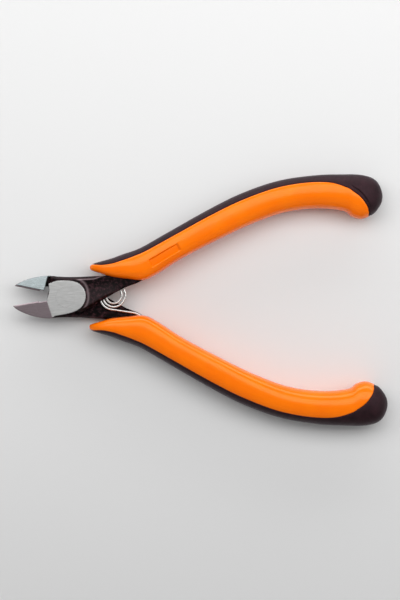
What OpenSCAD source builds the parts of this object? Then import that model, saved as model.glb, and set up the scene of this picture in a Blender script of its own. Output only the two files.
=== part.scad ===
// Diagonal cutter: two crossed levers on a rivet, held open by a wire spring, with two-shot handles.
// The pivot is the Z axis, the jaws point along -X, and the rear ground face of the joint lies at z = 0.
// One half is drawn with the tool closed and its mid plane at z = 0, then swung open.

/* [Head] */
// Thickness of the joint across its two ground faces
head_t = 8.4; // [7.4:0.1:10]
// Distance from the pivot to the jaw tips
jaw_len = 18.8; // [16:0.1:24]
// Depth of the front lever's jaw at its root, from the cutting line to its back
front_jaw_w = 6.4; // [5.6:0.1:7.6]
// Depth of the rear lever's jaw at its root, from the cutting line to its back
rear_jaw_w = 5.9; // [5.6:0.1:7.6]
// Distance from the pivot to the inner end of the cutting edge
throat_x = 9; // [8.4:0.1:11]
// Fall of the ground jaw faces towards the tips, in degrees
jaw_slope = 12; // [6:0.5:15]
// Sideways fall of the ground jaw faces towards the jaw backs, in degrees
jaw_roll = 3; // [0:0.5:5]
// Width of the narrow bevel along the cutting edge
edge_bevel_w = 0.45; // [0.2:0.05:0.8]
// Angle of the narrow bevel along the cutting edge
edge_bevel = 25; // [10:1:40]
// Angle of the deep relief behind the cutting edge
edge_relief = 28; // [20:1:35]
// Gap that keeps the closed cutting edges from overlapping
edge_gap = 0.04; // [0.02:0.01:0.1]
// Radius of the round ground boss
boss_r = 7; // [6.4:0.1:7.6]
// Step down from the ground boss to the forged neck
boss_step = 1; // [0.4:0.1:1.4]
// Angle between the cutting edges at rest
open_deg = 21; // [14:0.5:26]

/* [Rivet] */
// Diameter of the rivet shank
rivet_d = 5; // [4:0.1:6]
// Diameter of the countersunk rivet heads
rivet_head_d = 6.8; // [6.2:0.1:8]
// Depth of the countersunk rivet heads
rivet_head_h = 0.9; // [0.5:0.1:1.4]
// Radial running clearance of the rear lever on the rivet
pivot_clear = 0.04; // [0.01:0.01:0.1]
// Gap between the sliding faces of the two levers
lap_gap = 0.06; // [0.02:0.02:0.2]

/* [Handles] */
// Distance from the pivot to the front tips of the handles, tool closed
grip_start = 10.4; // [9:0.2:13]
// Length of a handle
grip_len = 107.6; // [90:0.2:130]
// Width of a handle at its bow
grip_w = 11.4; // [10:0.1:14]
// Thickness of a handle
grip_t = 12.4; // [11:0.1:15]
// Height of the inner edge over the centre line at the bow
grip_bow = 16; // [13:0.1:20]
// Width of the soft strip along the back of a handle
strip_w = 2.2; // [1.4:0.1:3]
// Length over which the front tip of a handle thins out
nose_round = 14; // [10:0.5:18]
// Length over which the far end of a handle rounds off
end_round = 8; // [5:0.5:12]
// Length of the bare label panel
panel_l = 11; // [6:0.5:13]
// Width of the bare label panel
panel_w = 3; // [2:0.1:4]
// Depth of the bare label panel
panel_d = 0.4; // [0.2:0.05:0.6]

/* [Shanks] */
// Width of a lever's shank inside the handle
shank_w = 4.8; // [3.6:0.1:5.6]
// Thickness of a lever's shank inside the handle
shank_t = 4.6; // [3:0.1:5.6]
// Distance by which a shank stops short of the handle's end
shank_short = 26; // [20:1:40]
// Clearance between a shank and its pocket
seat_clear = 0.04; // [0.02:0.01:0.1]

/* [Spring] */
// Diameter of the spring wire
wire_d = 0.75; // [0.5:0.05:0.9]
// Distance from the pivot to the middle of the coil
coil_x = 16.6; // [15.8:0.1:17.4]
// Radius of the outermost turn, to the middle of the wire
coil_r = 5; // [4.4:0.05:5.4]
// Distance between turns, to the middle of the wire
coil_pitch = 1; // [0.95:0.01:1.1]
// Clearance around the spring
spring_clear = 0.2; // [0.1:0.05:0.3]

/* [Hidden] */
$fn = 96;

// Joint
half_t = head_t / 2;
swing = open_deg / 2;
boss_reach = 1.1 * boss_r;
boss_corner_deg = 135.5;
boss_corner = boss_reach * [cos(boss_corner_deg), sin(boss_corner_deg)];
boss_side_deg = 40;
boss_shoulder = boss_r * [-0.47, 0.86];
crease_x = 0.98 * boss_r;
root_x = 0.93 * boss_r;
throat_drop = 0.07 * boss_r;
shoulder_x = boss_reach + 0.02 * boss_r;
tip_blunt = 0.01 * jaw_len;
edge_z = half_t - edge_bevel_w * tan(edge_bevel);
neck_top = half_t - boss_step;
slot_t = 2 * wire_d + 3 * spring_clear;
lap_r = 1.18 * boss_r;

// Ribs across a handle, from its front tip to its far end: place along the handle as a share of its
// length, height of the inner end as a share of the bow, lean in degrees, length as a share of the width
ribs = [
  [0, 0.54, 0, 0.06],
  [0.005, 0.46, -12, 0.24],
  [0.028, 0.37, -10, 0.39],
  [0.065, 0.245, -8, 0.6],
  [0.115, 0.145, 1, 0.8],
  [0.166, 0.06, 10, 0.98],
  [0.216, 0.155, 17, 0.96],
  [0.305, 0.395, 19, 0.92],
  [0.446, 0.685, 16, 0.97],
  [0.557, 0.88, 10.5, 1],
  [0.669, 1, 2.5, 1],
  [0.774, 0.965, -8, 1.03],
  [0.841, 0.86, -17.5, 1.1],
  [0.884, 0.68, -20, 1.27],
  [0.921, 0.56, -21.5, 1.29],
  [0.945, 0.585, -21, 1.09],
  [0.967, 0.68, -20, 0.8],
  [0.99, 0.84, -14, 0.38],
  [1, 0.975, -8, 0.08]
];
// Growth of the soft strip from the front tip, by rib
strip_rise = [[1, 0], [2, 0.45], [3, 0.7], [6, 0.75], [9, 1.03]];
// Ribs between which the soft strip sweeps across to the inner edge and becomes the end cap
sweep_from = 11.2;
sweep_to = 15;
sweep_power = 1.6;
last_rib = len(ribs) - 1;
rib_step = 1 / 3;
grip_end = grip_start + grip_len;
section_power = 2.4;
section_edge = 0.01;
core_cuts = 7;
grip_cuts = 4;
panel_rib = 6.42;
panel_share = 0.45;

// Spring
wire_sides = 8;
wire_z = wire_d / 2 + spring_clear / 4;
coil_y = 0.08 * coil_r;
coil_step = 15;
coil_leave = 122;
coil_angle = 990 - coil_leave;
lift_from = 690;
bend_rib = 4.5;
tip_rib = 5.35;
tip_depth = 2 * wire_d;

function mix(a, b, t) = a + (b - a) * t;
function share(a, b, x) = max(0, min(1, (x - a) / (b - a)));
function turned(p, deg) = [p[0] * cos(deg) - p[1] * sin(deg), p[0] * sin(deg) + p[1] * cos(deg)];
function arc_bend(a, b, c, t) = mix(mix(a, b, t), mix(b, c, t), t);

// Smooth curve through all points of a list, with point i at u = i
function through(p, u) =
  let (
    i = max(0, min(len(p) - 2, floor(u))),
    t = u - i,
    before = p[max(0, i - 1)],
    here = p[i],
    next = p[i + 1],
    after = p[min(len(p) - 1, i + 2)]
  )
  here + t * (next - before) / 2
    + t * t * (before - 2.5 * here + 2 * next - after / 2)
    + t * t * t * (1.5 * here - before / 2 - 1.5 * next + after / 2);

// Handle outline and section
inner_points = [for (r = ribs) [grip_start + r[0] * grip_len, r[1] * grip_bow]];
outer_points = [
  for (i = [0:last_rib]) inner_points[i] + grip_w * ribs[i][3] * [-sin(ribs[i][2]), cos(ribs[i][2])]
];
function inner(u) = through(inner_points, u);
function outer(u) = through(outer_points, u);
function rib_w(u) = norm(outer(u) - inner(u));
function rib_dir(u) = (outer(u) - inner(u)) / rib_w(u);
function rib_at(x) = lookup(x, [for (u = [0:rib_step:last_rib]) [inner(u)[0], u]]);
function round_off(d) = sqrt(1 - pow(1 - max(0.01, min(1, d)), 2));
function rib_half_t(u) =
  let (x = mix(inner(u), outer(u), 0.5)[0])
  grip_t / 2 * round_off((x - grip_start) / nose_round) * round_off((grip_end - x) / end_round);
function section_rise(t) = pow(1 - pow(abs(2 * t - 1), section_power), 1 / section_power);
function handle_point(u, t, side) =
  let (p = mix(inner(u), outer(u), t))
  [p[0], p[1], side * rib_half_t(u) * section_rise(t)];

// Share of a rib at which the hard core meets the soft strip
function parting(u) =
  let (
    strip = 1 - strip_w * lookup(u, strip_rise) / rib_w(u),
    sweep = pow(share(sweep_from, sweep_to, u), sweep_power)
  )
  max(section_edge, min(1 - section_edge, strip * (1 - sweep)));
// Ring of points on one rib, from the parting face over the edge and back, with the edge at share 0 or 1
function handle_ring(u, edge, cuts) =
  let (
    t = [for (k = [0:cuts]) mix(edge, parting(u), 1 - cos(90 * k / cuts))],
    first_side = edge > 0 ? 1 : -1
  )
  [
    for (k = [cuts:-1:0]) handle_point(u, t[k], first_side),
    for (k = [1:cuts]) handle_point(u, t[k], -first_side)
  ];

// Edges of a lever's neck and shank, grown by a clearance
function shank_inset(u) = (rib_w(u) * parting(u) - shank_w) / 2;
function shank_low(u, grow) = inner(u) + rib_dir(u) * (shank_inset(u) - grow);
function shank_high(u, grow) = inner(u) + rib_dir(u) * (shank_inset(u) + shank_w + grow);
neck_cuts = 10;
shank_cuts = 16;
shank_first = 5.8;
shank_join = 6.3;
neck_low = [boss_r * [0.71, -0.71], boss_r * [2, -0.16], inner(4.55) - [0, 0.04 * grip_bow]];
neck_high = [boss_r * [-0.3, 0.95], boss_r * [2.43, 0.37], shank_high(shank_join, 0)];
function neck_outline(grow) = [
  boss_shoulder,
  for (k = [0:neck_cuts]) arc_bend(neck_low[0], neck_low[1], neck_low[2], k / neck_cuts) - [0, grow],
  shank_low(shank_join, grow),
  for (k = [neck_cuts:-1:0]) arc_bend(neck_high[0], neck_high[1], neck_high[2], k / neck_cuts) + [0, grow]
];
function shank_outline(grow) =
  let (
    shank_last = rib_at(grip_end - shank_short + grow),
    stations = [for (k = [0:shank_cuts]) mix(shank_first, shank_last, k / shank_cuts)]
  )
  [
    for (u = stations) shank_low(u, grow),
    for (k = [shank_cuts:-1:0]) shank_high(stations[k], grow)
  ];

// Spring wire in the open tool: lower leg, coil wound clockwise inwards, upper leg
leg_bend = inner(bend_rib) - [0, wire_d];
leg_tip = inner(tip_rib) + rib_dir(tip_rib) * tip_depth;
function coil_radius(a) = coil_r - coil_pitch * a / 360;
function coil_lift(a) = let (s = share(lift_from, coil_angle, a)) wire_z * (6 * s * s - 4 * s * s * s - 1);
function coil_point(a) = [
  coil_x + coil_radius(a) * cos(-90 - a), coil_y + coil_radius(a) * sin(-90 - a), coil_lift(a)
];
function leg_point(p, side) = let (q = turned(p, swing)) [q[0], side * q[1], side * wire_z];
coil_exit = coil_point(coil_angle);
upper_bend = leg_point(leg_bend, 1);
upper_hump = coil_exit + (upper_bend[0] - coil_exit[0]) * 0.36 * [1, -cos(coil_leave) / sin(coil_leave), 0];
wire_path = [
  for (t = [0:0.5:1]) mix(leg_point(leg_tip, -1), leg_point(leg_bend, -1), t),
  for (t = [0.33, 0.66]) mix(leg_point(leg_bend, -1), coil_point(0), t),
  for (a = [0:coil_step:coil_angle]) coil_point(a),
  for (t = [0.2:0.2:0.8]) arc_bend(coil_exit, upper_hump, upper_bend, t),
  for (t = [0:0.5:1]) mix(upper_bend, leg_point(leg_tip, 1), t)
];
function wire_ring(i) =
  let (
    along = wire_path[min(len(wire_path) - 1, i + 1)] - wire_path[max(0, i - 1)],
    flat = cross(along, [0, 0, 1]),
    side = flat / norm(flat),
    rise = cross(side, along / norm(along))
  )
  [
    for (k = [0:wire_sides - 1])
      let (a = 360 * k / wire_sides)
        wire_path[i] + wire_d / 2 * (cos(a) * side + sin(a) * rise)
  ];

// Solid skin over a list of rings that all have as many points
module loft(rings) {
  n = len(rings[0]);
  last = len(rings) - 1;
  polyhedron(
    points = [for (r = rings) each r],
    faces = [
      [for (i = [n - 1:-1:0]) i],
      for (j = [0:last - 1])
        for (i = [0:n - 1])
          each [
            [j * n + i, j * n + (i + 1) % n, (j + 1) * n + (i + 1) % n],
            [j * n + i, (j + 1) * n + (i + 1) % n, (j + 1) * n + i]
          ],
      [for (i = [0:n - 1]) last * n + i]
    ]
  );
}

// Everything on the side of a plane that its normal points to
module half_space(point, normal) {
  size = 4 * jaw_len;
  translate(point)
    rotate([0, acos(normal[2] / norm(normal)), atan2(normal[1], normal[0])])
      translate([-size / 2, -size / 2, 0])
        cube(size);
}

module slab(outline, low, high) {
  translate([0, 0, low])
    linear_extrude(high - low)
      polygon(outline);
}

// A half of the tool drawn closed is swung open; the rear half is the same turned over
module front_half() {
  translate([0, 0, half_t])
    rotate(swing)
      children();
}

module rear_half() {
  translate([0, 0, half_t])
    rotate(-swing)
      rotate([180, 0, 0])
        children();
}

// Lower jaw, whose own layer of the lap joint is the front one (1) or the rear one (-1)
module jaw(depth, layer) {
  back_r = (pow(jaw_len - root_x, 2) + pow(depth, 2)) / (2 * depth);
  fall = tan(jaw_slope);
  roll = tan(jaw_roll);
  relief = tan(edge_relief);
  difference() {
    intersection() {
      translate([-root_x, back_r - depth, -half_t])
        cylinder(r = back_r, h = head_t);
      translate([tip_blunt - jaw_len, -2 * depth, -half_t])
        cube([jaw_len - tip_blunt - root_x / 2, 2 * depth - edge_gap / 2, head_t]);
    }
    half_space([-crease_x, 0, half_t], [-fall, -roll, 1]);
    half_space([-crease_x, 0, -half_t], [-fall, -roll, -1]);
    half_space([-crease_x, -edge_bevel_w, half_t], [-fall, tan(edge_bevel), 1]);
    half_space([-crease_x, 0, edge_z], [fall * relief, 1, -relief]);
    translate([-throat_x, -throat_drop, -head_t])
      cube([throat_x, depth, 2 * head_t]);
    translate([-shoulder_x, -2 * depth, layer > 0 ? lap_gap / 2 - head_t : -lap_gap / 2])
      cube([shoulder_x, 3 * depth, head_t]);
  }
}

// Ground boss, forged neck and hidden shank of a lever, in the front layer
module lever_body(jaw_depth) {
  side = boss_r * [cos(boss_side_deg), sin(boss_side_deg)];
  boss_low = 0.97 * jaw_depth;
  heel = [boss_shoulder[0], -boss_low];
  boss = [
    mix(heel, [side[0], -side[1]], 2), mix(boss_shoulder, side, 2), boss_shoulder, boss_corner,
    [-0.83 * boss_r, 0.3 * boss_r], [-crease_x, throat_drop], [-crease_x, -throat_drop], [-root_x, -boss_low], heel
  ];
  intersection() {
    slab(boss, lap_gap / 2, half_t);
    union() {
      cylinder(r = boss_r, h = head_t);
      translate([-2 * boss_r, -2 * boss_r, 0])
        cube([2 * boss_r, 4 * boss_r, head_t]);
    }
  }
  slab(neck_outline(0), slot_t / 2, neck_top);
  intersection() {
    slab(neck_outline(0), lap_gap / 2, neck_top);
    cylinder(r = lap_r, h = half_t);
  }
  slab(shank_outline(0), -shank_t / 2, shank_t / 2);
}

// Rivet with two countersunk heads ground flush, grown by a clearance for its bore
module rivet_form(grow) {
  head_r = rivet_head_d / 2 + grow;
  shank_r = rivet_d / 2 + grow;
  over = grow > 0 ? head_t : 0;
  rotate_extrude()
    polygon([
      [0, -half_t - over], [head_r, -half_t - over], [head_r, -half_t], [shank_r, rivet_head_h - half_t],
      [shank_r, half_t - rivet_head_h], [head_r, half_t], [head_r, half_t + over], [0, half_t + over]
    ]);
}

module handle_core() {
  difference() {
    loft([for (u = [0:rib_step:sweep_to]) handle_ring(u, 0, core_cuts)]);
    slab(neck_outline(seat_clear), slot_t / 2 - seat_clear, neck_top + seat_clear);
    slab(shank_outline(seat_clear), -shank_t / 2 - seat_clear, shank_t / 2 + seat_clear);
    translate([coil_x, 0, -slot_t / 2])
      cylinder(r = coil_r + wire_d / 2 + 2 * spring_clear, h = slot_t);
    leg_bore();
    label_panel();
  }
}

// Bore for the end of a spring leg
module leg_bore() {
  along = leg_tip - leg_bend;
  translate([leg_bend[0], leg_bend[1], wire_z])
    rotate([0, 90, atan2(along[1], along[0])])
      cylinder(d = wire_d + spring_clear, h = norm(along) + spring_clear, $fn = 24);
}

module label_panel() {
  middle = handle_point(panel_rib, panel_share, 1);
  along = inner(panel_rib + rib_step) - inner(panel_rib - rib_step);
  translate([middle[0], middle[1], middle[2] - panel_d])
    rotate(atan2(along[1], along[0]))
      translate([-panel_l / 2, -panel_w / 2, 0])
        cube([panel_l, panel_w, grip_t]);
}

module handle_grip() {
  loft([for (u = [1:rib_step:last_rib]) handle_ring(u, 1, grip_cuts)]);
}

module front_lever() {
  color("dimgray")
    front_half()
      difference() {
        union() {
          jaw(front_jaw_w, 1);
          lever_body(front_jaw_w);
        }
        rivet_form(0);
      }
}

module rear_lever() {
  color("gray")
    rear_half()
      difference() {
        union() {
          rotate([180, 0, 0])
            mirror([0, 1, 0])
              jaw(rear_jaw_w, -1);
          lever_body(rear_jaw_w);
        }
        rivet_form(pivot_clear);
      }
}

module pivot_rivet() {
  color("silver")
    front_half()
      rivet_form(0);
}

module return_spring() {
  color("lightgray")
    translate([0, 0, half_t])
      loft([for (i = [0:len(wire_path) - 1]) wire_ring(i)]);
}

module upper_handle_core() {
  color("darkorange")
    front_half()
      handle_core();
}

module upper_handle_grip() {
  color([0.15, 0.13, 0.13])
    front_half()
      handle_grip();
}

module lower_handle_core() {
  color("darkorange")
    rear_half()
      handle_core();
}

module lower_handle_grip() {
  color([0.15, 0.13, 0.13])
    rear_half()
      handle_grip();
}

front_lever();
rear_lever();
pivot_rivet();
return_spring();
upper_handle_core();
upper_handle_grip();
lower_handle_core();
lower_handle_grip();
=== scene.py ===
"""Diagonal cutter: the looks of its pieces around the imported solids, seen from the photograph's angle."""
import math

import bmesh
import bpy
import numpy as np
from mathutils import Matrix, Vector


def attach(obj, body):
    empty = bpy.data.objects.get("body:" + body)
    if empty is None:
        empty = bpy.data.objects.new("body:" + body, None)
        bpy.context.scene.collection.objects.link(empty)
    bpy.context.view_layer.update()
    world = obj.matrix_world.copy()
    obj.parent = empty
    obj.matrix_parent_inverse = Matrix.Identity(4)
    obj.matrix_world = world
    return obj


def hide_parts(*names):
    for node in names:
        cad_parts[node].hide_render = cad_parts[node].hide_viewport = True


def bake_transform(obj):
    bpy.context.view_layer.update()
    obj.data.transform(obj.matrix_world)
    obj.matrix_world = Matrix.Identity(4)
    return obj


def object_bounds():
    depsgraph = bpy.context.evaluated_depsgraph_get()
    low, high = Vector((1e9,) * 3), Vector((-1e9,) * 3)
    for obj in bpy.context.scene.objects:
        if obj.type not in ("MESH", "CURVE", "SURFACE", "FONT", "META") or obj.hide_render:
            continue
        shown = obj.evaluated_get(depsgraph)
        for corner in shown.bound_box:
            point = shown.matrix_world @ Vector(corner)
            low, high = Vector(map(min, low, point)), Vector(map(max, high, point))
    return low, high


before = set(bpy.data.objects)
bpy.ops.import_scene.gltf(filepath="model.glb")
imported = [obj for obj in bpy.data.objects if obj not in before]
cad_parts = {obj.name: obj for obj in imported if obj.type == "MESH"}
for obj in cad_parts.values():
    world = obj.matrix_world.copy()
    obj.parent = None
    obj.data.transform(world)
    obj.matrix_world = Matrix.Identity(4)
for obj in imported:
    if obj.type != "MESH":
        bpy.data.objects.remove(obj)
cad_low, cad_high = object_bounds()

MM = 0.001

# Sizes and places that the part's source has too, in millimetres, degrees and ribs
HEAD_T = 8.4
HALF_T = HEAD_T / 2
SWING_DEG = 10.5
BOSS_STEP = 1.0
NECK_TOP = HALF_T - BOSS_STEP
LAP_GAP = 0.06
LAP_R = 8.26
RIVET_HEAD_R = 3.4
JAW_SLOPE = 12
EDGE_RELIEF = 28
EDGE_GAP = 0.04
GRIP_START = 10.4
GRIP_LEN = 107.6
GRIP_W = 11.4
GRIP_T = 12.4
GRIP_BOW = 16.0
NOSE_ROUND = 14.0
END_ROUND = 8.0
SECTION_POWER = 2.4
WIRE_D = 0.75
SPRING_CLEAR = 0.2
WIRE_Z = WIRE_D / 2 + SPRING_CLEAR / 4
SLOT_T = 2 * WIRE_D + 3 * SPRING_CLEAR
COIL_X = 16.6
COIL_R = 5.0
COIL_PITCH = 1.0
COIL_LEAVE = 122
COIL_ANGLE = 990 - COIL_LEAVE
LIFT_FROM = 690
KNEE_RIB = 4.5
TIP_RIB = 5.35
TIP_DEPTH = 2 * WIRE_D

# Places of the two halves in the open tool; the rear one is drawn as the front one and turned over
FRONT_HALF = Matrix.Translation((0, 0, HALF_T)) @ Matrix.Rotation(math.radians(SWING_DEG), 4, "Z")
REAR_HALF = (
    Matrix.Translation((0, 0, HALF_T))
    @ Matrix.Rotation(math.radians(-SWING_DEG), 4, "Z")
    @ Matrix.Rotation(math.pi, 4, "X")
)


# Small helpers

MERGE_MM = 0.002
PINCH_PASSES = 4
DISC_SIDES = 96


def mix(a, b, t):
    """The value that is a share t of the way from a to b."""
    return a + (b - a) * t


def fade_in(span, x):
    """Rises smoothly from 0 before a span to 1 after it."""
    first, last = span
    t = np.clip((x - first) / (last - first), 0, 1)
    return t * t * (3 - 2 * t)


def fade_out(span, x):
    """Falls smoothly from 1 before a span to 0 after it."""
    return 1 - fade_in(span, x)


def peak(distance, width):
    """A soft peak that is 1 at no distance."""
    return np.exp(-((distance / width) ** 2))


def through(points, u):
    """Smooth curve through all points, with point i at u = i."""
    i = np.clip(np.floor(u).astype(int), 0, len(points) - 2)
    t = (u - i)[:, None]
    before = points[np.maximum(i - 1, 0)]
    here = points[i]
    after = points[i + 1]
    later = points[np.minimum(i + 2, len(points) - 1)]
    return (
        here
        + t * (after - before) / 2
        + t**2 * (before - 2.5 * here + 2 * after - later / 2)
        + t**3 * (1.5 * here - before / 2 - 1.5 * after + later / 2)
    )


def new_object(name, verts, faces, matrix):
    """A mesh object from points in millimetres, placed by a matrix in millimetres."""
    mesh = bpy.data.meshes.new(name)
    mesh.from_pydata([tuple(v) for v in verts], [], faces)
    mesh.transform(matrix)
    mesh.transform(Matrix.Scale(MM, 4))
    obj = bpy.data.objects.new(name, mesh)
    bpy.context.scene.collection.objects.link(obj)
    return obj


def ring_faces(rows, columns):
    """Faces of a closed skin over rows of points, each row a closed ring, with a cap at both ends."""
    faces = []
    for row in range(rows - 1):
        here, there = row * columns, (row + 1) * columns
        for k in range(columns):
            after = (k + 1) % columns
            faces.append((here + k, here + after, there + after, there + k))
    last = (rows - 1) * columns
    return faces + [tuple(range(columns))[::-1], tuple(range(last, last + columns))]


def disc(name, x, radius, half_t, matrix):
    """A plain closed cylinder along Z, in millimetres, to cut with."""
    turn = [2 * math.pi * k / DISC_SIDES for k in range(DISC_SIDES)]
    ring = [(x + radius * math.cos(a), radius * math.sin(a)) for a in turn]
    verts = [(px, py, z) for z in (-half_t, half_t) for px, py in ring]
    return new_object(name, verts, ring_faces(2, DISC_SIDES), matrix)


def clean(obj):
    """Merges points that coincide and turns all faces outwards."""
    bm = bmesh.new()
    bm.from_mesh(obj.data)
    bmesh.ops.remove_doubles(bm, verts=bm.verts, dist=MERGE_MM * MM)
    bmesh.ops.dissolve_degenerate(bm, edges=bm.edges, dist=MERGE_MM * MM)
    bmesh.ops.recalc_face_normals(bm, faces=bm.faces)
    bm.to_mesh(obj.data)
    bm.free()


def close_pinches(obj):
    """Collapses the short edges at which more than two faces meet."""
    bm = bmesh.new()
    bm.from_mesh(obj.data)
    for _ in range(PINCH_PASSES):
        pinched = [e for e in bm.edges if len(e.link_faces) > 2]
        if not pinched:
            break
        bmesh.ops.collapse(bm, edges=pinched)
        bmesh.ops.dissolve_degenerate(bm, edges=bm.edges, dist=MERGE_MM * MM)
    bm.to_mesh(obj.data)
    bm.free()


def cut(obj, cutter):
    """Takes the cutter's form out of an object and deletes the cutter."""
    modifier = obj.modifiers.new("cut", "BOOLEAN")
    modifier.operation = "DIFFERENCE"
    modifier.solver = "EXACT"
    modifier.object = cutter
    bpy.context.view_layer.update()
    result = bpy.data.meshes.new_from_object(obj.evaluated_get(bpy.context.evaluated_depsgraph_get()))
    obj.modifiers.clear()
    old = obj.data
    obj.data = result
    result.name = obj.name
    bpy.data.meshes.remove(old)
    bpy.data.objects.remove(cutter)


def shade(obj, sharp_deg):
    """Smooth shading, with edges left sharp above an angle."""
    obj.data.polygons.foreach_set("use_smooth", [True] * len(obj.data.polygons))
    obj.data.set_sharp_from_angle(angle=math.radians(sharp_deg))


# Handles

# Ribs across a handle: place along its length, height of the inner end as a share of the bow,
# lean in degrees, length as a share of the handle's width
RIBS = [
    (-0.0035, 0.525, -4, 0.066),
    (0.0005, 0.484, -9, 0.187),
    (0.028, 0.383, -10, 0.371),
    (0.065, 0.26, -8, 0.579),
    (0.115, 0.153, 1, 0.789),
    (0.166, 0.067, 10, 0.97),
    (0.216, 0.155, 17, 0.96),
    (0.305, 0.395, 19, 0.92),
    (0.446, 0.685, 16, 0.97),
    (0.557, 0.88, 10.5, 1),
    (0.669, 1, 2.5, 1),
    (0.774, 0.965, -8, 1.03),
    (0.862, 0.808, -13.6, 1.139),
    (0.888, 0.645, -20.3, 1.33),
    (0.917, 0.562, -21.3, 1.337),
    (0.945, 0.59, -19.7, 1.143),
    (0.967, 0.655, -16.9, 0.891),
    (0.99, 0.808, -11.5, 0.463),
    (1, 0.95, -5.7, 0.088),
]
LAST_RIB = len(RIBS) - 1
# Rib and the share of it that is hard core; past the last of these the handle is all soft end cap
CORE_LINE = [
    (0, 1), (1, 1), (2, 0.736), (3, 0.73), (4, 0.784), (5, 0.839), (6, 0.835), (7, 0.811),
    (8, 0.806), (9, 0.797), (10, 0.797), (11, 0.787), (11.5, 0.745), (12, 0.64),
    (12.5, 0.568), (13, 0.527), (14, 0.366), (14.5, 0.24), (15, 0),
]
CORE_END = CORE_LINE[-1][0]
GRIP_FIRST_RIB = 1
# Lengths of the two handles in the photograph, as shares of the source's common one
UPPER_LENGTH = 0.982
LOWER_LENGTH = 1.006
# The inner side is squarer than the rest of the section, and gives way to it over these ribs and shares
INNER_POWER = 3.2
INNER_RIBS = (7.6, 10.4)
INNER_SHARES = (0.3, 0.6)

# Groove along the parting
GROOVE_W = 0.5
GROOVE_D = 0.28
GROOVE_FADE = 0.4
# Bare panel, with the width of its sloping walls in ribs and in shares
PANEL_D = 0.7
PANEL_RIBS = (5.92, 7.1)
PANEL_SHARES = (0.3, 0.65)
PANEL_WALL = 1 / 18
# Groove on the end cap, beside the parting
CAP_GROOVE_RIBS = (12.1, 14.7)
CAP_GROOVE_FADE = 0.5
CAP_GROOVE_AT = 1.5
CAP_GROOVE_W = 0.3
CAP_GROOVE_D = 0.3

# Mesh: rings along the handle, closer at its nose and end, and columns across it, closer by the groove on
# the end cap. The way along the handle is measured in many small steps
RING_PITCH = 0.6
WAY_STEPS = 4000
NOSE_RINGS = np.linspace(0, 2.5, 26)
END_RINGS = np.linspace(LAST_RIB - 3, LAST_RIB, 40)
CORE_COLUMNS = 26
GRIP_COLUMNS = 18
CAP_COLUMNS = np.linspace(0.65, 0.93, 29)
HANDLE_SHARP = 38


def rib_ends():
    """Inner and outer ends of all ribs in the closed tool."""
    along, height, lean, length = np.array(RIBS, float).T
    lean = np.radians(lean)
    inner = np.c_[GRIP_START + along * GRIP_LEN, height * GRIP_BOW]
    return inner, inner + GRIP_W * length[:, None] * np.c_[-np.sin(lean), np.cos(lean)]


INNER, OUTER = rib_ends()
HANDLE_TIP = (INNER[-1, 0] + OUTER[-1, 0]) / 2


def middle_line(u):
    """Middle of the ribs u."""
    return (through(INNER, u) + through(OUTER, u)) / 2


def rib_width(u):
    """Length of the ribs u."""
    return np.linalg.norm(through(OUTER, u) - through(INNER, u), axis=1)


def round_off(d):
    """Height of a quarter circle at a share of its width."""
    return np.sqrt(1 - (1 - np.clip(d, 0, 1)) ** 2)


def rib_half_t(u):
    """Half of the handle's thickness at the ribs u, rounded off at its nose and end."""
    x = middle_line(u)[:, 0]
    nose = round_off((x - INNER[0, 0]) / NOSE_ROUND)
    end = round_off((HANDLE_TIP - x) / END_ROUND)
    return GRIP_T / 2 * nose * end


def parting(u):
    """Share of a rib at which the hard core meets the soft strip."""
    at, share = np.array(CORE_LINE, float).T
    slope = np.gradient(share, at)
    i = np.clip(np.searchsorted(at, u, side="right") - 1, 0, len(at) - 2)
    step = at[i + 1] - at[i]
    t = (u - at[i]) / step
    rise = share[i + 1] - share[i]
    start, end = slope[i] * step, slope[i + 1] * step
    line = share[i] + t * start + t**2 * (3 * rise - 2 * start - end) + t**3 * (start + end - 2 * rise)
    return np.where(u < CORE_END, np.clip(line, 0, 1), 0)


def skin(u, t, side):
    """Points of the handle's skin at ribs u (rows) and shares t (one row per rib)."""
    low, high = through(INNER, u), through(OUTER, u)
    flat = low[:, None, :] + (high - low)[:, None, :] * t[:, :, None]
    squarer = fade_out(INNER_RIBS, u)[:, None] * fade_out(INNER_SHARES, t)
    power = mix(SECTION_POWER, INNER_POWER, squarer)
    rise = np.clip(1 - np.abs(2 * t - 1) ** power, 0, 1) ** (1 / power)
    z = side * rib_half_t(u)[:, None] * rise
    return np.dstack([flat, z])


def ring_stations(first, last, extra=()):
    """Ribs at which rings are drawn, about evenly spaced along the handle, with extra ones."""
    fine = np.linspace(first, last, WAY_STEPS)
    steps = np.linalg.norm(np.diff(middle_line(fine), axis=0), axis=1)
    way = np.r_[0, np.cumsum(steps)]
    count = int(way[-1] / RING_PITCH)
    even = np.interp(np.linspace(0, way[-1], count + 1), way, fine)
    more = np.r_[NOSE_RINGS, END_RINGS, extra]
    return np.unique(np.r_[even, more[(more > first) & (more < last)]])


def column_shares(count, extra):
    """Shares from the edge (0) to the parting (1), closer together at both ends, with extra ones."""
    shares = (1 - np.cos(np.pi * np.arange(count + 1) / count)) / 2
    return np.unique(np.r_[shares, extra])


def surface_normals(grid):
    """Unit normals of a grid of points, all to one side."""
    along = np.gradient(grid, axis=0)
    across = np.gradient(grid, axis=1)
    n = np.cross(along, across)
    return n / np.maximum(np.linalg.norm(n, axis=2, keepdims=True), 1e-9)


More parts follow.
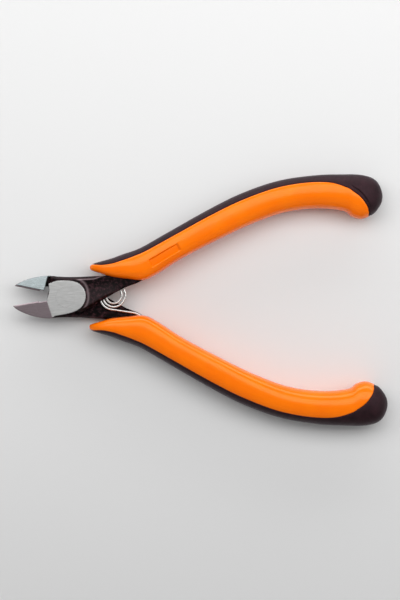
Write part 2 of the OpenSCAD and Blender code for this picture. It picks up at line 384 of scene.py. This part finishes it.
def handle_shell(name, matrix, u, shares, edge, depth):
    """A closed shell over the ribs u, from the parting over the inner (0) or outer (1) edge and back.

    Its skin is sunk by depth(rib, share, side, width), with the width from the edge to the parting.
    """
    part = parting(u)
    reach = part if edge == 0 else 1 - part
    width = (reach * rib_width(u))[:, None]
    skins, sinks = [], []
    for side in (-1, 1):
        order = shares[::-1] if side < 0 else shares[1:]
        t = reach[:, None] * order[None, :]
        t = t if edge == 0 else 1 - t
        rib, share = np.broadcast_arrays(u[:, None], order[None, :])
        skins.append(skin(u, t, side))
        sinks.append(depth(rib, share, side, width))
    grid = np.concatenate(skins, axis=1)
    sink = np.concatenate(sinks, axis=1)
    normals = surface_normals(grid)
    middle = grid.mean(axis=1, keepdims=True)
    outward = np.sign(np.sum(normals * (grid - middle), axis=(1, 2), keepdims=True))
    grid = grid - normals * outward * sink[:, :, None]
    obj = new_object(name, grid.reshape(-1, 3), ring_faces(*grid.shape[:2]), matrix)
    clean(obj)
    shade(obj, HANDLE_SHARP)
    return obj


def groove(share, width):
    """Depth of the rounded groove along the parting, from the distance to it."""
    near = np.clip((1 - share) * width / GROOVE_W, 0, 1)
    return GROOVE_D * (1 - round_off(near)) * np.clip(width / GROOVE_W, 0, 1)


def panel(rib, share):
    """Depth of the bare panel, with sloping walls."""
    along = np.minimum(rib - PANEL_RIBS[0], PANEL_RIBS[1] - rib)
    across = np.minimum(share - PANEL_SHARES[0], PANEL_SHARES[1] - share)
    return PANEL_D * np.clip(np.minimum(along, across) / PANEL_WALL, 0, 1)


def panel_lines(span):
    """Upper and lower ends of the panel's two walls across a span."""
    first, last = span
    return [first, first + PANEL_WALL, last - PANEL_WALL, last]


def core_depth(rib, share, side, width):
    """The core's groove along the parting, and the panel on its face."""
    sink = groove(share, width)
    return sink + (panel(rib, share) if side > 0 else 0)


def grip_depth(rib, share, side, width):
    """The grip's groove along the parting, as far as the core goes, and the end cap's own on its face."""
    sink = groove(share, width) * fade_out((CORE_END, CORE_END + GROOVE_FADE), rib)
    first, last = CAP_GROOVE_RIBS
    starts = fade_in((first, first + CAP_GROOVE_FADE), rib)
    ends = fade_out((last - CAP_GROOVE_FADE, last), rib)
    across = peak((1 - share) * width - CAP_GROOVE_AT, CAP_GROOVE_W)
    return sink + (CAP_GROOVE_D * starts * ends * across if side > 0 else 0)


def handle(prefix, half, body, length):
    """Hard core and soft grip of one handle, drawn to its own length from its start."""
    to_start = Matrix.Translation((GRIP_START, 0, 0))
    matrix = half @ to_start @ Matrix.Scale(length, 4, (1, 0, 0)) @ to_start.inverted()
    rings = ring_stations(0, CORE_END, panel_lines(PANEL_RIBS))
    columns = column_shares(CORE_COLUMNS, panel_lines(PANEL_SHARES))
    core = handle_shell(f"{prefix}_core_skin", matrix, rings, columns, edge=0, depth=core_depth)
    slot_r = COIL_R + WIRE_D / 2 + 2 * SPRING_CLEAR
    cut(core, disc("slot", COIL_X, slot_r, SLOT_T / 2, half))
    shade(core, HANDLE_SHARP)
    rings = ring_stations(GRIP_FIRST_RIB, LAST_RIB)
    columns = column_shares(GRIP_COLUMNS, CAP_COLUMNS)
    grip = handle_shell(f"{prefix}_grip_skin", matrix, rings, columns, edge=1, depth=grip_depth)
    core.data.materials.append(orange_plastic)
    grip.data.materials.append(black_soft_grip)
    for piece, node, slot in ((core, "core", "orange_plastic"), (grip, "grip", "black_soft_grip")):
        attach(piece, body)
        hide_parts(f"{prefix}_{node}")


# Levers

# Outlines in the closed tool, each lever seen from its own ground face.
# Plate, with the notch beside the jaw
PLATE_CURVE = [
    (-5.07, 5.76), (-3.17, 6.11), (-1.12, 6.21), (2.83, 5.46), (5.73, 3.91),
    (7.13, 1.06), (6.73, -2.29), (4.53, -4.74), (0.48, -5.84), (-5.72, -5.89),
]
PLATE_NOTCH = [(-6.57, 0.01), (-6.17, 1.16), (-5.52, 2.41), (-5.27, 3.31), (-5.07, 5.76)]
# Back of the jaw, and the rest of its outline in the plate and beyond the cutting edge
JAW_LEN = 18.95
JAW_BACK = [
    (-18.85, 0.1), (-18.1, -0.95), (-16.6, -2.2), (-14.86, -3.3),
    (-13.15, -4.25), (-11.25, -5.1), (-9.35, -5.75), (-7.45, -6.25), (-5.66, -6.45),
]
JAW_REST = [(-4.6, -6), (-4.6, 2), (-JAW_LEN, 2)]
# Upper and lower side of the neck, with the shank that is hidden in the handle
NECK_HIGH = [
    (-4.2, 5.9), (-3.75, 8.1), (-1.44, 7.61), (1.43, 6.98), (4.32, 6.47), (7.22, 6.08), (10.14, 5.71),
    (12.27, 5.45), (14.77, 5.14), (19.85, 5.0), (26.85, 5.3), (33.8, 7.7),
]
NECK_LOW = [
    (34.3, 4.53), (29.8, 2.13), (25.9, 0.63), (22.6, 0.03), (19.3, -0.85),
    (15.7, -2.1), (12.1, -3.5), (9.0, -4.7), (6.0, -5.7), (3.8, -6.0),
]
CURVE_STEPS = 8
JAW_STEPS = 6

# Jaw: crease where its facets start, height of the cutting line, bevel, throat behind it, wall by the notch.
# The bevel has one width on the lever whose own face is the tool's front (1) and one on the other (-1)
JAW_CREASE_X = 6.62
JAW_CREASE_LEAN = 0.144
JAW_EDGE = 0.25
EDGE_LIFT = 0.33
EDGE_BEVEL = 40
EDGE_BEVEL_W = {1: 0.3, -1: 0.62}
THROAT_X = 9.35
THROAT_DROP = 0.45
WALL_X = 7.87
WALL_LEAN = 0.056

# Neck: rounded edges, how far its sides lean in and where along it that ends, cove by the plate
FORGED_EDGE = 0.3
INNER_EDGE = 0.9
PLATE_EDGE = 0.12
LOW_DRAFT = 1.2
LOW_DRAFT_END = (12, 20)
HIGH_DRAFT = 1.05
HIGH_DRAFT_END = (10.5, 15)
UPPER_SIDE = (0, 2)
COVE = 0.75

# Painted light on the black finish: painted highlights near the neck's top along its upper edge and in the
# cove by the plate, painted light on its face and on its upper side. Spans called a height go across the
# lever, a start or end along it
NEAR_TOP = (NECK_TOP - 0.4, NECK_TOP - 0.1)
# Painted highlight along the neck's upper edge
EDGE_HIGHLIGHT = 0.62
EDGE_HIGHLIGHT_AT = 0.08
EDGE_HIGHLIGHT_W = 0.17
EDGE_HIGHLIGHT_START = (4.5, 6)
EDGE_HIGHLIGHT_END = (14, 15.5)
# Painted highlight in the cove by the plate
COVE_HIGHLIGHT = 0.44
# Distance of the cove's painted highlight from the plate, below and above the span of heights
COVE_HIGHLIGHT_AT = (0.85, 1.2)
COVE_HIGHLIGHT_HEIGHT = (0, 4)
COVE_HIGHLIGHT_W = 0.38
COVE_HIGHLIGHT_START = (2, 4)
# Painted light on the neck's face
LOW_FACE_LIGHT = 0.06
LOW_FACE_LIGHT_HEIGHT = (-0.5, 3.5)
LOW_FACE_LIGHT_START = (5, 8)
LOW_FACE_LIGHT_END = (15, 22)
# Painted light on the neck's upper side
SIDE_LIGHT = 0.08
SIDE_LIGHT_HEIGHT = (0.1, 0.4)
SIDE_LIGHT_END = (12, 15)

# Box and step of the grid on which a lever's form is sampled, and limits between its finishes
VOXEL = 0.14
LEVER_LOW = np.array([-JAW_LEN - 1, -8, -HALF_T - 0.4])
LEVER_HIGH = np.array([35.5, 9, HALF_T + 0.4])
GROUND_D = 0.07
WALL_REACH = 0.05
BORE_CLEAR = 0.02
LEVER_SHARP = 35
FORGED, GROUND, JAW, BEVEL = range(4)


def curve(points, steps):
    """Points along a smooth curve through the given ones, so many steps between two of them."""
    spans = len(points) - 1
    return through(np.array(points, float), np.linspace(0, spans, steps * spans + 1))


def outline_distance(outline, x, y):
    """Distance from a closed outline, negative inside it."""
    nearest = np.full(x.shape, np.inf)
    inside = np.zeros(x.shape, bool)
    for (ax, ay), (bx, by) in zip(outline, np.roll(outline, -1, axis=0)):
        dx, dy = bx - ax, by - ay
        t = np.clip(((x - ax) * dx + (y - ay) * dy) / (dx * dx + dy * dy + 1e-12), 0, 1)
        nearest = np.minimum(nearest, (x - ax - t * dx) ** 2 + (y - ay - t * dy) ** 2)
        crosses = (ay > y) != (by > y)
        inside ^= crosses & (x < ax + (y - ay) * dx / (dy if dy else 1e-12))
    return np.where(inside, -1, 1) * np.sqrt(nearest)


def round_cut(a, b, r):
    """What two forms share, with its edge rounded."""
    return np.minimum(-r, np.maximum(a, b)) + np.hypot(np.maximum(a + r, 0), np.maximum(b + r, 0))


def round_union(a, b, r):
    """Two forms joined, with the corner between them filled."""
    return np.maximum(r, np.minimum(a, b)) - np.hypot(np.maximum(r - a, 0), np.maximum(r - b, 0))


def plane(x, y, z, point, normal):
    """Height over a plane, positive on the side of its normal."""
    length = math.sqrt(sum(c * c for c in normal))
    return ((x - point[0]) * normal[0] + (y - point[1]) * normal[1] + (z - point[2]) * normal[2]) / length


def plate_outline():
    """Outline of the ground plate."""
    return np.r_[curve(PLATE_CURVE, CURVE_STEPS), curve(PLATE_NOTCH, CURVE_STEPS)[:-1]]


def high_draft(x):
    """How far the neck's upper side leans in at x along it."""
    return HIGH_DRAFT * fade_out(HIGH_DRAFT_END, x)


def jaw_form(x, y, z, layer):
    """Jaw of a lever; layer is 1 for the lever whose own face is the tool's front, else -1."""
    outline = np.r_[curve(JAW_BACK, JAW_STEPS), JAW_REST]
    front_z = layer * z
    height = y - layer * EDGE_LIFT + EDGE_GAP / 2
    slope = math.tan(math.radians(JAW_SLOPE))
    lean = JAW_CREASE_LEAN * slope
    bevel = math.tan(math.radians(EDGE_BEVEL))
    bevel_w = EDGE_BEVEL_W[layer]
    relief = math.tan(math.radians(EDGE_RELIEF))
    facets = np.maximum(
        plane(x, y, front_z, (-JAW_CREASE_X, 0, HALF_T), (-slope, -lean, 1)),
        plane(x, y, front_z, (-JAW_CREASE_X, 0, -HALF_T), (-slope, -lean, -1)),
    )
    form = outline_distance(outline, x[:, :, 0], y[:, :, 0])[:, :, None]
    form = round_cut(form, np.maximum(facets, np.abs(z) - HALF_T), JAW_EDGE)
    bevel_foot = (-JAW_CREASE_X, -bevel_w, HALF_T)
    edge = (-JAW_CREASE_X, 0, HALF_T - bevel_w * bevel)
    limits = (
        height,
        plane(x, height, front_z, bevel_foot, (-slope, bevel, 1)),
        plane(x, height, front_z, edge, (slope * relief, 1, -relief)),
        np.minimum(x + THROAT_X, height + THROAT_DROP),
        np.minimum(x + WALL_X + WALL_LEAN * y, LAP_GAP / 2 - z),
    )
    for limit in limits:
        form = np.maximum(form, limit)
    return form


def lever_form(x, y, z, layer):
    """Ground plate, forged neck and jaw of a lever in its own closed frame, negative inside."""
    neck_outline = np.r_[curve(NECK_HIGH, CURVE_STEPS), curve(NECK_LOW, CURVE_STEPS)]
    flat_x, flat_y = x[:, :, 0], y[:, :, 0]
    plate = outline_distance(plate_outline(), flat_x, flat_y)[:, :, None]
    neck = outline_distance(neck_outline, flat_x, flat_y)[:, :, None]
    below_lap = LAP_GAP / 2 - z
    plate = round_cut(plate, np.maximum(z - HALF_T, below_lap), PLATE_EDGE)
    low_draft = mix(LOW_DRAFT, FORGED_EDGE, fade_in(LOW_DRAFT_END, x))
    draft = mix(low_draft, high_draft(x), fade_in(UPPER_SIDE, y))
    side = (neck + draft - (NECK_TOP - z)) / math.sqrt(2)
    collar = np.maximum(np.maximum(neck, np.hypot(x, y) - LAP_R), np.maximum(z - NECK_TOP, below_lap))
    neck = round_cut(round_cut(neck, z - NECK_TOP, FORGED_EDGE), SLOT_T / 2 - z, INNER_EDGE)
    neck = round_cut(np.minimum(neck, collar), side, PLATE_EDGE)
    return np.minimum(round_union(plate, neck, COVE), jaw_form(x, y, z, layer))


def lever_painted_light(verts):
    """How far painted highlights and painted light lift the black finish at each point, from 0 to 1."""
    x, y, z = verts.T
    neck_edge = curve(NECK_HIGH, CURVE_STEPS)
    over_edge = y - (np.interp(x, neck_edge[:, 0], neck_edge[:, 1]) - high_draft(x))
    edge = peak(over_edge - EDGE_HIGHLIGHT_AT, EDGE_HIGHLIGHT_W)
    edge = edge * fade_in(EDGE_HIGHLIGHT_START, x) * fade_out(EDGE_HIGHLIGHT_END, x)
    plate = outline_distance(plate_outline(), x, y)
    cove_at = mix(*COVE_HIGHLIGHT_AT, fade_in(COVE_HIGHLIGHT_HEIGHT, y))
    cove = peak(plate - cove_at, COVE_HIGHLIGHT_W) * fade_in(COVE_HIGHLIGHT_START, x)
    low_face_light = fade_out(LOW_FACE_LIGHT_HEIGHT, y) * fade_in(LOW_FACE_LIGHT_START, x) * fade_out(LOW_FACE_LIGHT_END, x)
    side = fade_in(SIDE_LIGHT_HEIGHT, over_edge) * fade_out(SIDE_LIGHT_END, x)
    # Painted highlights and painted light on the neck's top, and painted light on its upper side
    on_top = EDGE_HIGHLIGHT * edge + COVE_HIGHLIGHT * cove + LOW_FACE_LIGHT * low_face_light
    return np.clip(on_top * fade_in(NEAR_TOP, z) + SIDE_LIGHT * side, 0, 1)


def lever_finish(corners, layer):
    """Which finish each face has, from its corners: forged, ground plate, jaw or bevel along its edge."""
    x, y, z = corners.mean(axis=1).T
    crease = -JAW_CREASE_X - JAW_CREASE_LEAN * y
    wall = -WALL_X - WALL_LEAN * y + WALL_REACH
    on_jaw = x < np.where(z > LAP_GAP, crease, wall)
    on_bevel = y > layer * EDGE_LIFT - EDGE_BEVEL_W[layer]
    on_plate = np.all(corners[:, :, 2] > HALF_T - GROUND_D, axis=1)
    return np.where(on_jaw, np.where(on_bevel, BEVEL, JAW), np.where(on_plate, GROUND, FORGED))


def surface_net(form, origin, step):
    """Quads around the zero level of a form sampled on a grid."""
    inside = form < 0
    cells = tuple(n - 1 for n in form.shape)
    total = np.zeros(cells + (3,))
    count = np.zeros(cells)
    edges = []
    # Where the level crosses an edge of the grid, the four cells round that edge get the point and a quad
    for axis in range(3):
        low = [slice(None)] * 3
        high = [slice(None)] * 3
        low[axis], high[axis] = slice(0, -1), slice(1, None)
        at = np.argwhere(inside[tuple(low)] != inside[tuple(high)])
        unit = np.eye(3, dtype=int)[axis]
        a = form[tuple(at.T)]
        b = form[tuple((at + unit).T)]
        points = at + unit * (a / (a - b))[:, None]
        others = [k for k in range(3) if k != axis]
        keep = np.all((at[:, others] > 0) & (at[:, others] < np.array(cells)[others]), axis=1)
        at, points, flip = at[keep], points[keep], (a > 0)[keep]
        p, q = np.eye(3, dtype=int)[others]
        ring = [at - p - q, at - q, at, at - p]
        for corner in ring:
            np.add.at(total, tuple(corner.T), points)
            np.add.at(count, tuple(corner.T), 1)
        edges.append((ring, flip != (axis == 1)))
    # Each cell that has points has one corner of the net, at their mean
    index = np.full(cells, -1)
    used = np.argwhere(count > 0)
    index[tuple(used.T)] = np.arange(len(used))
    verts = total[tuple(used.T)] / count[tuple(used.T)][:, None]
    faces = []
    for ring, flip in edges:
        quads = np.stack([index[tuple(corner.T)] for corner in ring], axis=1)
        quads[flip] = quads[flip][:, ::-1]
        faces.append(quads)
    return origin + verts * step, np.concatenate(faces)


def lever(name, node, matrix, body, layer):
    """A lever's forging, with its finishes and the bore for the rivet's head."""
    axes = [np.arange(a, b, VOXEL) for a, b in zip(LEVER_LOW, LEVER_HIGH)]
    x, y, z = np.meshgrid(*axes, indexing="ij", sparse=True)
    flat_x, flat_y = np.broadcast_arrays(x, y)
    verts, faces = surface_net(lever_form(flat_x, flat_y, z, layer), LEVER_LOW, VOXEL)
    obj = new_object(name, verts, faces.tolist(), matrix)
    jaw_steel = front_jaw_steel if layer > 0 else rear_jaw_steel
    # The bevel takes the front jaw's purplish steel on both levers, so the rear jaw's bevel carries that
    # painted reflection too
    for finish in (forged_black, ground_steel, jaw_steel, front_jaw_steel):
        obj.data.materials.append(finish)
    # Painted highlights and painted light on the black finish, held at the mesh's points
    painted_light = obj.data.attributes.new("painted_light", "FLOAT", "POINT")
    painted_light.data.foreach_set("value", lever_painted_light(verts).astype(np.float32))
    index = lever_finish(verts[faces], layer)
    obj.data.polygons.foreach_set("material_index", index.astype(np.int32))
    close_pinches(obj)
    cut(obj, disc("bore", 0, RIVET_HEAD_R + BORE_CLEAR, HEAD_T, matrix))
    clean(obj)
    close_pinches(obj)
    shade(obj, LEVER_SHARP)
    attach(obj, body)
    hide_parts(node)


# Spring

# The coil lies a little above the middle line; its inner turns lie further in, past a span of its degrees
COIL_Y = 0.14 * COIL_R
COIL_INSET = 0.25
COIL_INSET_SPAN = (300, 640)
COIL_STEP = 6
# Legs: where each bows most on its way to the knee, and where the knee's bend starts and ends
LOWER_BOW = 0.4
UPPER_BOW = 0.36
KNEE_START = 0.18
KNEE_END = 0.28
LEG_STEPS = 14
KNEE_STEPS = 6
WIRE_SIDES = 14
WIRE_SHARP = 50


def leg_point(rib, lift, side):
    """Point of a spring leg at a rib of its handle, swung open, on the lower (-1) or upper (1) side."""
    u = np.array([float(rib)])
    low = through(INNER, u)[0]
    high = through(OUTER, u)[0]
    p = low + (high - low) / np.linalg.norm(high - low) * lift
    a = math.radians(SWING_DEG)
    x = p[0] * math.cos(a) - p[1] * math.sin(a)
    y = p[0] * math.sin(a) + p[1] * math.cos(a)
    return Vector((x, side * y, side * WIRE_Z))


def knee_point(side):
    """Where a spring leg bends into its handle."""
    return leg_point(KNEE_RIB, -WIRE_D, side)


def coil_point(a):
    """Point of the coil after a degrees, wound inwards from the lower leg and lifted to the upper one."""
    r = COIL_R - COIL_PITCH * a / 360 - COIL_INSET * fade_in(COIL_INSET_SPAN, a)
    turn = math.radians(-90 - a)
    z = WIRE_Z * (2 * fade_in((LIFT_FROM, COIL_ANGLE), a) - 1)
    return Vector((COIL_X + r * math.cos(turn), COIL_Y + r * math.sin(turn), z))


def bend(a, b, c, steps):
    """Points of a smooth bend from a by b to c."""
    return [a.lerp(b, k / steps).lerp(b.lerp(c, k / steps), k / steps) for k in range(steps + 1)]


def leg_path(side, start, bow):
    """A spring leg from the coil to its end in the handle, with a rounded knee."""
    knee = knee_point(side)
    tip = leg_point(TIP_RIB, TIP_DEPTH, side)
    before = knee.lerp(start, KNEE_START)
    after = knee.lerp(tip, KNEE_END)
    run = bend(start, bow, before, LEG_STEPS)
    return run + bend(before, knee, after, KNEE_STEPS)[1:] + [after.lerp(tip, 0.5), tip]


def tube(name, path):
    """A round wire along a path."""
    verts = []
    for i, p in enumerate(path):
        along = (path[min(i + 1, len(path) - 1)] - path[max(i - 1, 0)]).normalized()
        side = along.cross(Vector((0, 0, 1))).normalized()
        up = side.cross(along)
        for k in range(WIRE_SIDES):
            a = 2 * math.pi * k / WIRE_SIDES
            verts.append(p + (side * math.cos(a) + up * math.sin(a)) * WIRE_D / 2)
    faces = ring_faces(len(path), WIRE_SIDES)
    obj = new_object(name, verts, faces, Matrix.Translation((0, 0, HALF_T)))
    clean(obj)
    shade(obj, WIRE_SHARP)
    obj.data.materials.append(spring_wire)
    return obj


def spring():
    """Coil and two legs, each leg running from the coil into its handle."""
    first = coil_point(0)
    last = coil_point(COIL_ANGLE)
    coil = tube("spring_coil", [coil_point(a) for a in range(0, COIL_ANGLE + 1, COIL_STEP)] + [last])
    lower_bow = first.lerp(knee_point(-1), LOWER_BOW)
    lower = tube("spring_lower_leg", leg_path(-1, first, lower_bow))
    knee = knee_point(1)
    slope = -1 / math.tan(math.radians(COIL_LEAVE))
    upper_bow = last + (knee.x - last.x) * UPPER_BOW * Vector((1, slope, 0))
    upper = tube("spring_upper_leg", leg_path(1, last, upper_bow))
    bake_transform(coil)
    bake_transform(lower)
    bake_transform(upper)
    for piece in (coil, lower, upper):
        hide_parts("return_spring")


# Materials

# Scratches in ground steel: stretch, share of the colour left in them, roughness added in and between them
SCRATCH_STRETCH = (0.35, 6, 1)
SCRATCH_DARK = 0.74
SCRATCH_ROUGH = (0.06, -0.05)


def set_inputs(node, values):
    """Sets inputs of a node by their names."""
    for name, value in values.items():
        node.inputs[name].default_value = value


def material(name, color, metallic, roughness):
    """A node material with its shader, and object coordinates in millimetres for its textures."""
    mat = bpy.data.materials.new(name)
    mat.use_nodes = True
    nodes = mat.node_tree.nodes
    shader = nodes["Principled BSDF"]
    set_inputs(shader, {"Base Color": (*color, 1), "Metallic": metallic, "Roughness": roughness})
    place = nodes.new("ShaderNodeTexCoord")
    in_mm = nodes.new("ShaderNodeMapping")
    set_inputs(in_mm, {"Scale": (1 / MM,) * 3})
    mat.node_tree.links.new(place.outputs["Object"], in_mm.inputs["Vector"])
    return mat, shader, in_mm


def noise(mat, source, scale, detail=3.0, roughness=0.5, stretch=None, turn_deg=0.0):
    """A noise texture with features of about 1 / scale millimetres, stretched on its axes before a turn."""
    nodes, links = mat.node_tree.nodes, mat.node_tree.links
    vector = source.outputs["Vector"]
    if stretch:
        turned = nodes.new("ShaderNodeMapping")
        set_inputs(turned, {"Rotation": (0, 0, math.radians(turn_deg)), "Scale": stretch})
        links.new(vector, turned.inputs["Vector"])
        vector = turned.outputs["Vector"]
    tex = nodes.new("ShaderNodeTexNoise")
    set_inputs(tex, {"Scale": scale, "Detail": detail, "Roughness": roughness})
    links.new(vector, tex.inputs["Vector"])
    return tex.outputs["Fac"]


def ramp(mat, value, span, out=(0, 1)):
    """Maps a span of a value onto another one."""
    node = mat.node_tree.nodes.new("ShaderNodeMapRange")
    set_inputs(node, {"From Min": span[0], "From Max": span[1], "To Min": out[0], "To Max": out[1]})
    mat.node_tree.links.new(value, node.inputs["Value"])
    return node.outputs["Result"]


def blend_colors(mat, value, color_a, color_b):
    """A colour that goes from one to another with a value; each is three numbers or a node's colour."""
    node = mat.node_tree.nodes.new("ShaderNodeMix")
    node.data_type = "RGBA"
    for socket, color in (("A", color_a), ("B", color_b)):
        place = next(i for i in node.inputs if i.name == socket and i.type == "RGBA")
        if isinstance(color, tuple):
            place.default_value = (*color, 1)
        else:
            mat.node_tree.links.new(color, place)
    mat.node_tree.links.new(value, node.inputs["Factor"])
    return next(o for o in node.outputs if o.type == "RGBA")


def tint(mat, shader, value, color_a, color_b):
    """Base colour that goes from one colour to another with a value."""
    mat.node_tree.links.new(blend_colors(mat, value, color_a, color_b), shader.inputs["Base Color"])


def attribute(mat, name):
    """A value that the mesh holds at its points."""
    node = mat.node_tree.nodes.new("ShaderNodeAttribute")
    node.attribute_name = name
    return node.outputs["Fac"]


def rough(mat, shader, value):
    """Roughness from a value."""
    mat.node_tree.links.new(value, shader.inputs["Roughness"])


def bump(mat, shader, value, height_mm):
    """Bumps of a height in millimetres from a value."""
    node = mat.node_tree.nodes.new("ShaderNodeBump")
    set_inputs(node, {"Strength": 1.0, "Distance": height_mm * MM})
    mat.node_tree.links.new(value, node.inputs["Height"])
    mat.node_tree.links.new(node.outputs["Normal"], shader.inputs["Normal"])


def make_orange_plastic():
    """Glossy moulded plastic, faintly clouded."""
    mat, shader, mm = material("orange_plastic", (1.0, 0.18, 0.0), metallic=0, roughness=0.2)
    set_inputs(shader, {"Specular IOR Level": 0.5, "Specular Tint": (1.0, 0.8, 0.4, 1)})
    cloud = ramp(mat, noise(mat, mm, scale=0.12, detail=2), span=(0.35, 0.65))
    tint(mat, shader, cloud, (0.98, 0.17, 0.0), (1.0, 0.19, 0.0))
    rough(mat, shader, ramp(mat, noise(mat, mm, scale=1.2), span=(0.3, 0.7), out=(0.16, 0.22)))
    bump(mat, shader, noise(mat, mm, scale=3.0, detail=2), height_mm=0.001)
    return mat


def make_black_soft_grip():
    """Dull soft plastic with a fine grain, mottled and with a slight sheen."""
    mat, shader, mm = material("black_soft_grip", (0.022, 0.015, 0.017), metallic=0, roughness=0.55)
    set_inputs(shader, {"Specular IOR Level": 0.36, "Specular Tint": (1.0, 0.62, 0.72, 1)})
    set_inputs(shader, {"Sheen Weight": 0.1, "Sheen Tint": (0.95, 0.85, 1.0, 1), "Sheen Roughness": 0.35})
    mottle = ramp(mat, noise(mat, mm, scale=0.5, detail=5, roughness=0.65), span=(0.35, 0.65))
    tint(mat, shader, mottle, (0.004, 0.001, 0.0015), (0.014, 0.004, 0.006))
    rough(mat, shader, ramp(mat, noise(mat, mm, scale=1.5, detail=4), span=(0.3, 0.7), out=(0.5, 0.64)))
    bump(mat, shader, noise(mat, mm, scale=4.0, detail=3), height_mm=0.012)
    return mat


def make_forged_black():
    """Black finish of the forging, mottled, and lifted towards a pale steel colour by the painted light that
    the mesh holds.
    """
    mat, shader, mm = material("forged_black", (0.015, 0.008, 0.009), metallic=0, roughness=0.5)
    set_inputs(shader, {"Specular IOR Level": 0.06})
    mottle = ramp(mat, noise(mat, mm, scale=0.8, detail=4, roughness=0.65), span=(0.48, 0.72))
    black = blend_colors(mat, mottle, (0.0015, 0.0004, 0.0006), (0.055, 0.021, 0.027))
    # Painted highlights and painted light: the mesh's values lift the black towards a pale steel colour
    tint(mat, shader, attribute(mat, "painted_light"), black, (0.3, 0.225, 0.24))
    rough(mat, shader, ramp(mat, noise(mat, mm, scale=2.5, detail=4), span=(0.3, 0.7), out=(0.38, 0.6)))
    bump(mat, shader, noise(mat, mm, scale=2.2, detail=5, roughness=0.6), height_mm=0.06)
    return mat


def make_ground_steel(name, color, roughness, turn_deg):
    """Bare steel with scratches along X, darker and a little rougher; another turn gives other ones."""
    mat, shader, mm = material(name, color, metallic=1, roughness=roughness)
    scratch = noise(
        mat, mm, scale=1.0, detail=4, roughness=0.7, stretch=SCRATCH_STRETCH, turn_deg=turn_deg,
    )
    dark = tuple(SCRATCH_DARK * c for c in color)
    tint(mat, shader, ramp(mat, scratch, span=(0.35, 0.65)), dark, color)
    rough(mat, shader, ramp(mat, scratch, span=(0.3, 0.7), out=[roughness + r for r in SCRATCH_ROUGH]))
    bump(mat, shader, scratch, height_mm=0.004)
    return mat


def make_spring_wire():
    """Drawn bare wire of uneven gloss."""
    mat, shader, mm = material("spring_wire", (0.72, 0.71, 0.69), metallic=1, roughness=0.28)
    rough(mat, shader, ramp(mat, noise(mat, mm, scale=3.0, detail=3), span=(0.3, 0.7), out=(0.22, 0.36)))
    return mat


orange_plastic = make_orange_plastic()
black_soft_grip = make_black_soft_grip()
forged_black = make_forged_black()
ground_steel = make_ground_steel("ground_steel", (0.48, 0.48, 0.476), roughness=0.42, turn_deg=35)
# The two jaws are of one ground steel; their tints differ as painted reflection, purplish on the front jaw
# and bluish on the rear one
front_jaw_steel = make_ground_steel("front_jaw_steel", (0.39, 0.318, 0.342), roughness=0.32, turn_deg=80)
rear_jaw_steel = make_ground_steel("rear_jaw_steel", (0.288, 0.328, 0.336), roughness=0.28, turn_deg=80)
spring_wire = make_spring_wire()

# Pieces

handle("upper_handle", FRONT_HALF, "front_half", UPPER_LENGTH)
handle("lower_handle", REAR_HALF, "rear_half", LOWER_LENGTH)
lever("front_lever_forging", "front_lever", FRONT_HALF, "front_half", layer=1)
lever("rear_lever_forging", "rear_lever", REAR_HALF, "rear_half", layer=-1)
spring()
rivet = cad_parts["pivot_rivet"]
rivet.data.materials.clear()
rivet.data.materials.append(ground_steel)

# Floor, lights and camera, in millimetres; floor and lamps are set round a middle of the tool

MIDDLE_X = 50
FLOOR_SIZE = 4000
FLOOR_GREY = 0.74
FLOOR_ROUGHNESS = 0.8
SKY = 0.26
# Lamps: place, point that each faces, width and height, power in watts
LAMPS = {
    "key": ((MIDDLE_X, 182, 380), (MIDDLE_X, 182, 0), (1000, 286), 2.3),
    "low": ((MIDDLE_X, 700, 150), (MIDDLE_X, 0, 0), (1300, 280), 3.8),
    "fill": ((MIDDLE_X, -650, 520), (MIDDLE_X, 0, 0), (1300, 900), 0.4),
    "side": ((620, 60, 420), (MIDDLE_X, 0, 0), (300, 500), 0.6),
}
# Camera, from the handles' ends and the jaw tips in the photograph
VIEW_ELEVATION = 91.0
VIEW_ROLL = 0.49
VIEW_DISTANCE = 700.0
VIEW_TARGET = (47.26, -0.61, HALF_T)
VIEW_LENS = 118.97
SENSOR_W = 36.0


def make_floor():
    """A plain pale floor under the tool."""
    bpy.ops.mesh.primitive_plane_add(size=FLOOR_SIZE * MM, location=(MIDDLE_X * MM, 0, cad_low.z))
    floor = bpy.context.object
    floor.name = "floor"
    mat = bpy.data.materials.new("floor")
    mat.use_nodes = True
    shader = mat.node_tree.nodes["Principled BSDF"]
    set_inputs(shader, {"Base Color": (*[FLOOR_GREY] * 3, 1), "Roughness": FLOOR_ROUGHNESS})
    floor.data.materials.append(mat)


def make_sky():
    """Even white light from all around."""
    world = bpy.data.worlds.new("studio")
    world.use_nodes = True
    set_inputs(world.node_tree.nodes["Background"], {"Color": (1, 1, 1, 1), "Strength": SKY})
    bpy.context.scene.world = world


def make_lamp(name, place, aim, size, power):
    """A white rectangular lamp that faces a point."""
    data = bpy.data.lights.new(name, "AREA")
    data.shape = "RECTANGLE"
    data.size, data.size_y = (s * MM for s in size)
    data.energy = power
    lamp = bpy.data.objects.new(name, data)
    lamp.location = Vector(place) * MM
    lamp.rotation_mode = "QUATERNION"
    lamp.rotation_quaternion = (Vector(aim) - Vector(place)).to_track_quat("-Z", "Y")
    bpy.context.scene.collection.objects.link(lamp)


def make_camera():
    """The photograph's camera, almost straight above the tool."""
    data = bpy.data.cameras.new("camera")
    data.sensor_width = SENSOR_W
    data.lens = VIEW_LENS
    cam = bpy.data.objects.new("camera", data)
    e = math.radians(VIEW_ELEVATION)
    back = Vector((0, -math.cos(e), math.sin(e)))
    cam.location = (Vector(VIEW_TARGET) + back * VIEW_DISTANCE) * MM
    right = Vector((1, 0, 0))
    upright = Matrix((right, back.cross(right), back)).transposed()
    roll = Matrix.Rotation(math.radians(VIEW_ROLL), 3, back)
    cam.rotation_mode = "QUATERNION"
    cam.rotation_quaternion = (roll @ upright).to_quaternion()
    bpy.context.scene.collection.objects.link(cam)
    bpy.context.scene.camera = cam


make_floor()
make_sky()
for lamp_name, lamp_values in LAMPS.items():
    make_lamp(lamp_name, *lamp_values)
make_camera()
bpy.context.scene.view_settings.view_transform = "Standard"
